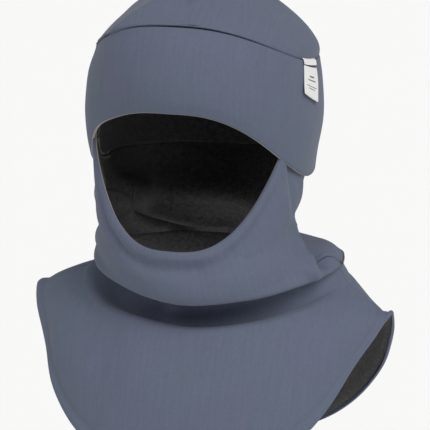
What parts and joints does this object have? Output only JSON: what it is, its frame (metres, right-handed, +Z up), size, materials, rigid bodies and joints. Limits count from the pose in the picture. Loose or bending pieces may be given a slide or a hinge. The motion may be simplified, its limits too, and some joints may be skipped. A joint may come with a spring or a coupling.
{
  "type": "balaclava",
  "caption": "Winter balaclava with a darted crown, turn-up cuff, open face, bunched chin guard and neck roll, and front and back bib flaps.",
  "frame": {"origin": "the point inside the crown that rests on top of the wearer's head", "axes": "+Z up along the wearer, -Y towards the wearer's front, +X towards the wearer's left"},
  "size_m": [0.278, 0.224, 0.3949],
  "materials": {
    "softshell": "matte brushed softshell",
    "fleece": "matte heather fleece",
    "label": "woven satin"
  },
  "bodies": {
    "root": {"crown_shell": "softshell", "crown_lining": "fleece", "cuff_shell": "softshell", "cuff_lining": "fleece", "label_fold": "label", "chin_guard_shell": "softshell", "chin_guard_lining": "fleece", "hood_back_shell": "softshell", "hood_back_lining": "fleece", "front_yoke_shell": "softshell", "front_yoke_lining": "fleece", "back_yoke_shell": "softshell", "back_yoke_lining": "fleece"},
    "label": {"label_tab": "label"},
    "front_flap": {"front_bib_shell": "softshell", "front_bib_lining": "fleece"},
    "back_flap": {"back_bib_shell": "softshell", "back_bib_lining": "fleece"}
  },
  "joints": [
    {"name": "label_flip", "type": "hinge", "parent": "root", "child": "label", "pos_m": [0.07963, -0.02012, -0.05917], "axis": [-0.2075, -0.959, 0.1933], "range_deg": [0, 150]},
    {"name": "front_bib_lift", "type": "hinge", "parent": "root", "child": "front_flap", "pos_m": [0.0054, -0.0934, -0.266], "axis": [-1, 0, 0], "range_deg": [0, 60]},
    {"name": "back_bib_lift", "type": "hinge", "parent": "root", "child": "back_flap", "pos_m": [0.0056, 0.098, -0.267], "axis": [1, 0, 0], "range_deg": [0, 60]}
  ]
}
